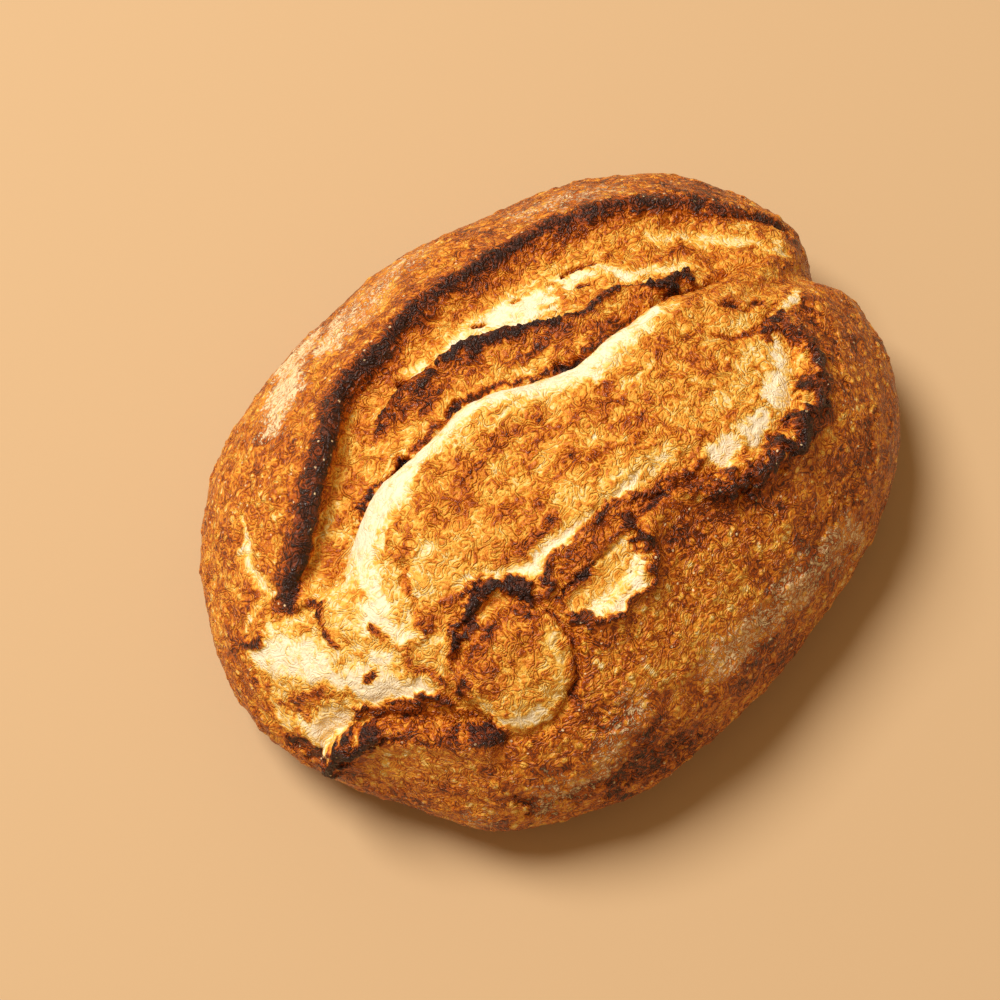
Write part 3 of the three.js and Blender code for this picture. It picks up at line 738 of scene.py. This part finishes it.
# ---------------------------------------------------------------- mesh
def ball(splits):
    """A unit ball of even triangles, as directions and faces."""
    golden = (1 + 5 ** 0.5) / 2
    points = np.array([
        (-1, golden, 0), (1, golden, 0), (-1, -golden, 0), (1, -golden, 0), (0, -1, golden),
        (0, 1, golden), (0, -1, -golden), (0, 1, -golden), (golden, 0, -1), (golden, 0, 1),
        (-golden, 0, -1), (-golden, 0, 1)])
    faces = np.array([
        (0, 11, 5), (0, 5, 1), (0, 1, 7), (0, 7, 10), (0, 10, 11), (1, 5, 9), (5, 11, 4), (11, 10, 2),
        (10, 7, 6), (7, 1, 8), (3, 9, 4), (3, 4, 2), (3, 2, 6), (3, 6, 8), (3, 8, 9), (4, 9, 5), (2, 4, 11),
        (6, 2, 10), (8, 6, 7), (9, 8, 1)])
    points = points / np.linalg.norm(points, axis=1, keepdims=True)
    for _ in range(splits):
        edges, face_edges = edges_of(faces)
        middle = points[edges].sum(axis=1)
        middle /= np.linalg.norm(middle, axis=1, keepdims=True)
        faces = split_faces(faces, face_edges, np.arange(len(edges)) + len(points))
        points = np.vstack([points, middle])
    return points, faces


def edges_of(faces):
    """Each edge once, and the three edges of every face in the order ab, bc, ca."""
    pairs = np.sort(faces[:, [[0, 1], [1, 2], [2, 0]]], axis=2).reshape(-1, 2)
    size = faces.max() + 1
    keys, back = np.unique(pairs[:, 0].astype(np.int64) * size + pairs[:, 1], return_inverse=True)
    return np.stack([keys // size, keys % size], axis=1), back.reshape(-1, 3)


def split_faces(faces, face_edges, middle_of_edge):
    """Splits each face at the middles of its marked edges; an unmarked edge has middle -1."""
    middles = middle_of_edge[face_edges]
    marked = middles >= 0
    count = marked.sum(axis=1)
    kept = [faces[count == 0]]
    all_three = count == 3
    (a, b, c), (ab, bc, ca) = faces[all_three].T, middles[all_three].T
    kept += [np.stack(corner, axis=1) for corner in ((a, ab, ca), (ab, b, bc), (ca, bc, c), (ab, bc, ca))]
    for wanted, lone in ((1, True), (2, False)):
        chosen = count == wanted
        turn = np.argmax(marked[chosen] == lone, axis=1)
        order = (turn[:, None] + np.arange(3)) % 3
        a, b, c = np.take_along_axis(faces[chosen], order, axis=1).T
        ab, bc, ca = np.take_along_axis(middles[chosen], order, axis=1).T
        corners = ((a, ab, c), (ab, b, c)) if wanted == 1 else ((c, ca, bc), (a, b, bc), (a, bc, ca))
        kept += [np.stack(corner, axis=1) for corner in corners]
    return np.vstack(kept)


def grow_skin():
    """Splits the ball's edges until the sculpted skin has none longer than its limit."""
    directions, faces = ball(FIRST_SPLITS)
    skin = sculpt(directions)
    for _ in range(SPLIT_ROUNDS):
        edges, face_edges = edges_of(faces)
        ends = skin["place"][edges]
        length = np.linalg.norm(ends[:, 0] - ends[:, 1], axis=1)
        under = directions[edges, 2].mean(axis=1) < math.cos(BASE_POLAR)
        long = length > np.where(under, EDGE_UNDER, EDGE_ON_TOP)
        middle = directions[edges[long]].sum(axis=1)
        middle /= np.linalg.norm(middle, axis=1, keepdims=True)
        number = np.full(len(edges), -1)
        number[long] = len(directions) + np.arange(len(middle))
        faces = split_faces(faces, face_edges, number)
        added = sculpt(middle)
        directions = np.vstack([directions, middle])
        skin = {key: np.concatenate([skin[key], added[key]]) for key in skin}
    return directions, faces, skin


def vertex_normals(places, faces):
    """Outward direction at each point, larger faces counting for more."""
    corner = places[faces]
    face_normal = np.cross(corner[:, 1] - corner[:, 0], corner[:, 2] - corner[:, 0])
    normal = np.zeros_like(places)
    for axis in range(3):
        for index in range(3):
            normal[:, axis] += np.bincount(faces[:, index], face_normal[:, axis], len(places))
    return normal / np.maximum(np.linalg.norm(normal, axis=1, keepdims=True), 1e-9)


def fine_relief(skin, faces):
    """Blisters on the crust, fibres and pores where it tore, crackle on the char.

    A blister is thinner than the crust around it and stays paler; a fibre's crest is nearer the oven's
    heat and bakes darker.
    """
    places = skin["place"]
    crust, bake_and_shade = skin["skin"], skin["bake_and_shade"]
    burnt = smooth(bake_and_shade, 0.84, 0.98)
    bare = smooth(bake_and_shade, 0.3, 0.08)
    torn = (1 - crust) * (1 - bare)
    bubble_share = 0.45 + 0.35 * noise(places + 70, 24)
    bubbles = crust * (1 - 0.6 * burnt) * blisters(places, BUBBLE_SIZE, bubble_share)
    wrinkles = layered_noise(places + 210, WRINKLE_SIZE, 2)
    fibres = layered_noise(places * (0.45, 1, 1) + 260, FIBRE_SIZE, 3, 0.65)
    crumb_fibres = layered_noise(places * (0.6, 1, 1) + 330, CRUMB_FIBRE_SIZE, 3, 0.65)
    mottle = layered_noise(places * (0.4, 1, 1) + 150, MOTTLE_SIZE, 3, 0.6)
    crackle = 0.35 - 2 * np.abs(layered_noise(places + 400, CRACKLE_SIZE, 3, 0.65))
    height = BUBBLE_HEIGHT * bubbles + WRINKLE_HEIGHT * (1 - bare) * wrinkles
    height += FIBRE_HEIGHT * torn * fibres + CRUMB_FIBRE_HEIGHT * bare * crumb_fibres
    height += CRACKLE_HEIGHT * (1 - 0.75 * crust) * burnt * crackle
    height *= smooth(places[:, 2], 0.5, 6)
    browning = 0.10 * (1 - bare) * wrinkles + torn * (0.24 * fibres + 0.22 * mottle) - 0.13 * bubbles
    browning += 0.42 * bare * np.clip(crumb_fibres - 0.14, 0, 1)
    skin["bake_and_shade"] = np.clip(bake_and_shade + (1 - 0.5 * burnt) * browning, 0, 1)
    return places + vertex_normals(places, faces) * height[:, None]


def fit_to_box(places, low, high):
    """Stretches the skin by a few parts in a hundred so that it fills the solid's box, in metres."""
    own_low, own_high = places.min(axis=0), places.max(axis=0)
    return low + (places - own_low) * (high - low) / (own_high - own_low)


def unwrap(mesh, directions, faces):
    """Two round islands: everything above the base's edge, and the base."""
    polar = np.arccos(np.clip(directions[:, 2], -1, 1))
    angle = np.arctan2(directions[:, 1], directions[:, 0])
    round_way = np.stack([np.cos(angle), np.sin(angle)], axis=1)
    above = np.array([0.46, 0.46]) + round_way * (0.45 * polar / BASE_POLAR)[:, None]
    inward = (math.pi - polar) / (math.pi - BASE_POLAR)
    below = np.array([0.875, 0.875]) + round_way * (0.11 * inward)[:, None]
    is_above = polar[faces].mean(axis=1) < BASE_POLAR
    uv = np.where(np.repeat(is_above, 3)[:, None], above[faces.ravel()], below[faces.ravel()])
    layer = mesh.uv_layers.new(name="OFBake")
    layer.data.foreach_set("uv", uv.astype(np.float32).ravel())


def bake_loaf():
    """The loaf as one mesh object, with its oven marks and a little painted shade as vertex attributes."""
    directions, faces, skin = grow_skin()
    places = fine_relief(skin, faces)
    low, high = (np.array(corner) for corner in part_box("loaf"))
    places = fit_to_box(places, low, high)
    mesh = bpy.data.meshes.new("baked_loaf")
    mesh.vertices.add(len(places))
    mesh.vertices.foreach_set("co", places.astype(np.float32).ravel())
    mesh.loops.add(faces.size)
    mesh.loops.foreach_set("vertex_index", faces.astype(np.int32).ravel())
    mesh.polygons.add(len(faces))
    mesh.polygons.foreach_set("loop_start", np.arange(0, faces.size, 3, dtype=np.int32))
    mesh.update(calc_edges=True)
    mesh.shade_smooth()
    for name in ("bake_and_shade", "flour", "skin"):
        mesh.attributes.new(name, "FLOAT", "POINT").data.foreach_set("value", skin[name].astype(np.float32))
    unwrap(mesh, directions, faces)
    loaf = bpy.data.objects.new("baked_loaf", mesh)
    bpy.context.collection.objects.link(loaf)
    return loaf


# ---------------------------------------------------------------- materials
BAKE_COLOURS = [
    (CRUMB, "#FAEFD4"), (CREAM, "#FBE0A0"), (STRAW, "#F6C452"), (GOLD, "#EDA436"), (ORANGE, "#DB821C"),
    (TOFFEE, "#BC5D09"), (RUSSET, "#8E3B05"), (BROWN, "#5A260C"), (CHAR, "#2B1412")]
FLOUR_AND_GLINT_COLOUR = "#FFE6B8"

# Real sizes of the crust's texture, in mm, and how much each one changes the tone and the height.
SWIRL_MM, SWIRL_RIDGES = 5.0, 26
SPECKLE_MM, CLOUD_MM = 1.1, 5.0
# The flour grains' dots are partly stray flour and partly painted glints.
BLISTER_MM, FLOUR_GRAIN_AND_GLINT_MM = 3.8, 3.0
WRINKLE_TONE, SPECKLE_TONE, CLOUD_TONE, BLISTER_TONE = 0.12, 0.10, 0.12, 0.24
WRINKLE_BUMP, SPECKLE_BUMP, BLISTER_BUMP = 0.45, 0.45, 1.8
BUMP_MM = 0.45
CRUST_IOR = 1.45
PAINT_TOOTH_MM = 1.1


def linear(hex_colour):
    """An sRGB hex colour as linear RGBA."""
    shares = [int(hex_colour[place:place + 2], 16) / 255 for place in (1, 3, 5)]
    return [share / 12.92 if share <= 0.04045 else ((share + 0.055) / 1.055) ** 2.4
            for share in shares] + [1.0]


def add_node(tree, kind, settings=None, inputs=None):
    """Adds a node, sets its properties, and fills each input with a value or a link."""
    node = tree.nodes.new(kind)
    for name, value in (settings or {}).items():
        setattr(node, name, value)
    for key, value in (inputs or {}).items():
        if isinstance(value, bpy.types.NodeSocket):
            tree.links.new(value, node.inputs[key])
        else:
            node.inputs[key].default_value = value
    return node


def new_material(name):
    material = bpy.data.materials.new(name)
    material.use_nodes = True
    tree = material.node_tree
    tree.nodes.clear()
    return material, tree


def crust_material():
    """Baked wheat crust: dough sugars browned by the oven, so every tone from bare crumb to char, and painted
    shade in a few cracks and pits.

    The eye sees thin swirling wrinkles where the skin dried, pale blisters, and pale dots on the unbroken
    crust that are partly stray grains of flour and partly painted glints, a soft gloss on the brown parts,
    and a matt, open surface where white crumb shows.
    """
    material, tree = new_material("baked_wheat_crust")
    place = add_node(tree, "ShaderNodeTexCoord").outputs["Object"]

    def mark_of(name):
        return add_node(tree, "ShaderNodeAttribute", {"attribute_name": name}).outputs["Fac"]

    def math_node(operation, *values):
        return add_node(tree, "ShaderNodeMath", {"operation": operation}, dict(enumerate(values))).outputs[0]

    def blend(*shares):
        """Sum of values, each times its amount."""
        total = None
        for value, amount in shares:
            part = math_node("MULTIPLY", value, amount)
            total = part if total is None else math_node("ADD", total, part)
        return total

    def noise_node(size_mm, detail, distortion):
        """Noise with features of the given real size."""
        inputs = {"Vector": place, "Scale": 1 / (size_mm * MM), "Detail": detail, "Distortion": distortion}
        return add_node(tree, "ShaderNodeTexNoise", {}, inputs).outputs["Fac"]

    def cells_node(size_mm):
        """Cells of the given real size, as distance from each cell's middle and a tone of its own."""
        cells = add_node(tree, "ShaderNodeTexVoronoi", {}, {"Vector": place, "Scale": 1 / (size_mm * MM)})
        return cells.outputs["Distance"], cells.outputs["Color"]

    def spread(value, low, high, to_low, to_high):
        inputs = {"Value": value, "From Min": low, "From Max": high, "To Min": to_low, "To Max": to_high}
        return add_node(tree, "ShaderNodeMapRange", {"clamp": True}, inputs).outputs[0]

    bake_and_shade, flour, skin = mark_of("bake_and_shade"), mark_of("flour"), mark_of("skin")
    wrinkle = math_node("SINE", math_node("MULTIPLY", noise_node(SWIRL_MM, 1.0, 1.8), SWIRL_RIDGES))
    speckle = spread(noise_node(SPECKLE_MM, 3.0, 0.8), 0.3, 0.7, -1, 1)
    cloud = spread(noise_node(CLOUD_MM, 4.0, 0.6), 0.3, 0.7, -1, 1)

    from_middle, cell_tone = cells_node(BLISTER_MM)
    in_some_cells = spread(cell_tone, 0.40, 0.48, 0, 1)
    blister = math_node("MULTIPLY", spread(from_middle, 0.20, 0.44, 1, 0), in_some_cells)
    blister = math_node("MULTIPLY", blister, spread(skin, 0.4, 0.9, 0.3, 1))
    blister = math_node("MULTIPLY", blister, spread(bake_and_shade, 0.78, 0.92, 1, 0.2))

    texture = blend((wrinkle, WRINKLE_TONE), (speckle, SPECKLE_TONE), (cloud, CLOUD_TONE),
                    (blister, -BLISTER_TONE))
    strength = math_node("MULTIPLY", spread(bake_and_shade, 0, 0.35, 0.35, 1), spread(bake_and_shade, 0.8, 1, 1, 0.7))
    toned = math_node("ADD", bake_and_shade, math_node("MULTIPLY", texture, strength))
    ramp = add_node(tree, "ShaderNodeValToRGB", {}, {"Fac": toned})
    stops = ramp.color_ramp.elements
    while len(stops) < len(BAKE_COLOURS):
        stops.new(0.5)
    for stop, (position, colour) in zip(stops, BAKE_COLOURS):
        stop.position = position
        stop.color = linear(colour)

    drift = math_node("ADD", flour, blend((speckle, 0.45), (wrinkle, 0.28)))
    dust_and_glint = math_node("MULTIPLY", spread(drift, 0.4, 0.95, 0, 0.95), spread(flour, 0, 0.3, 0, 1))
    # Painted glints: scattered small dots in the flour's colour on the unbroken crust, partly stray grains of
    # flour and partly painted highlights.
    from_middle, cell_tone = cells_node(FLOUR_GRAIN_AND_GLINT_MM)
    flour_grain_and_glint = math_node("MULTIPLY", spread(from_middle, 0.11, 0.17, 0.8, 0), spread(cell_tone, 0.5, 0.55, 0, 1))
    dust_and_glint = math_node("MAXIMUM", dust_and_glint, math_node("MULTIPLY", flour_grain_and_glint, spread(skin, 0.4, 0.9, 0, 1)))
    colour = add_node(tree, "ShaderNodeMix", {"data_type": "RGBA"}, {
        "Factor": dust_and_glint, "A": ramp.outputs["Color"], "B": linear(FLOUR_AND_GLINT_COLOUR)}).outputs["Result"]

    baked_roughness = math_node("ADD", spread(bake_and_shade, 0.1, 0.6, 0.8, 0.33), spread(bake_and_shade, 0.85, 1, 0, 0.12))
    roughness = math_node("ADD", baked_roughness, blend((wrinkle, -0.1), (dust_and_glint, 0.4)))
    height = blend((wrinkle, WRINKLE_BUMP), (speckle, SPECKLE_BUMP), (blister, BLISTER_BUMP))
    height = math_node("MULTIPLY", height, spread(bake_and_shade, 0, 0.4, 0.35, 1))
    bump = add_node(tree, "ShaderNodeBump", {}, {
        "Strength": 1.0, "Distance": BUMP_MM * MM, "Height": height}).outputs["Normal"]
    shader = add_node(tree, "ShaderNodeBsdfPrincipled", {}, {
        "Base Color": colour, "Roughness": roughness, "IOR": CRUST_IOR, "Normal": bump})
    add_node(tree, "ShaderNodeOutputMaterial", {}, {"Surface": shader.outputs["BSDF"]})
    return material


def floor_material():
    """Matt painted board, rolled: pale sand colour with a barely visible tooth."""
    material, tree = new_material("matt_painted_board")
    place = add_node(tree, "ShaderNodeTexCoord").outputs["Object"]
    tooth = add_node(tree, "ShaderNodeTexNoise", {}, {
        "Vector": place, "Scale": 1 / (PAINT_TOOTH_MM * MM), "Detail": 2.0})
    bump = add_node(tree, "ShaderNodeBump", {}, {
        "Strength": 0.05, "Distance": 0.1 * MM, "Height": tooth.outputs["Fac"]})
    shader = add_node(tree, "ShaderNodeBsdfPrincipled", {}, {
        "Base Color": linear("#C9AD88"), "Roughness": 0.9, "Normal": bump.outputs["Normal"]})
    add_node(tree, "ShaderNodeOutputMaterial", {}, {"Surface": shader.outputs["BSDF"]})
    return material


# ---------------------------------------------------------------- stage
FLOOR_SIZE = 8
KEY_PLACE, KEY_TARGET = (-0.40, 1.44, 2.6), (0, 0, 0.03)
KEY_SIZE, KEY_WATTS, KEY_COLOUR = 1.4, 108, "#FFF6EA"
FILL_COLOUR, FILL_STRENGTH = "#FFD398", 0.38
VIEW_ELEVATION, VIEW_AZIMUTH, VIEW_DISTANCE = math.radians(70), math.radians(-43.3), 0.8
VIEW_TARGET = Vector((-18.5, 6.35, 40)) * MM
LENS_MM, SENSOR_MM = 85, 36


def sand_floor():
    bpy.ops.mesh.primitive_plane_add(size=FLOOR_SIZE, location=(0, 0, 0))
    floor = bpy.context.object
    floor.name = "sand_floor"
    floor.data.materials.append(floor_material())


def studio_light():
    """One soft key from the scored far side, and an even fill from all around."""
    light = bpy.data.lights.new("key_light", "AREA")
    light.shape = "DISK"
    light.size = KEY_SIZE
    light.energy = KEY_WATTS
    light.color = linear(KEY_COLOUR)[:3]
    lamp = bpy.data.objects.new("key_light", light)
    lamp.location = KEY_PLACE
    lamp.rotation_euler = (Vector(KEY_TARGET) - Vector(KEY_PLACE)).to_track_quat("-Z", "Y").to_euler()
    bpy.context.collection.objects.link(lamp)
    world = bpy.data.worlds.new("even_fill")
    world.use_nodes = True
    backdrop = world.node_tree.nodes["Background"]
    backdrop.inputs["Color"].default_value = linear(FILL_COLOUR)
    backdrop.inputs["Strength"].default_value = FILL_STRENGTH
    bpy.context.scene.world = world


def camera():
    """A short telephoto, looking steeply down over the loaf's near left side."""
    level = math.cos(VIEW_ELEVATION)
    back = Vector((math.sin(VIEW_AZIMUTH) * level, -math.cos(VIEW_AZIMUTH) * level, math.sin(VIEW_ELEVATION)))
    lens = bpy.data.cameras.new("camera")
    lens.lens = LENS_MM
    lens.sensor_width = SENSOR_MM
    eye = bpy.data.objects.new("camera", lens)
    eye.location = VIEW_TARGET + back * VIEW_DISTANCE
    eye.rotation_euler = back.to_track_quat("Z", "Y").to_euler()
    bpy.context.collection.objects.link(eye)
    bpy.context.scene.camera = eye


# ---------------------------------------------------------------- the scene
MARKS = all_marks()
loaf = bake_loaf()
loaf.data.materials.append(crust_material())
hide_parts("loaf")
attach(loaf, "root")
sand_floor()
studio_light()
camera()
bpy.context.scene.view_settings.view_transform = "Standard"
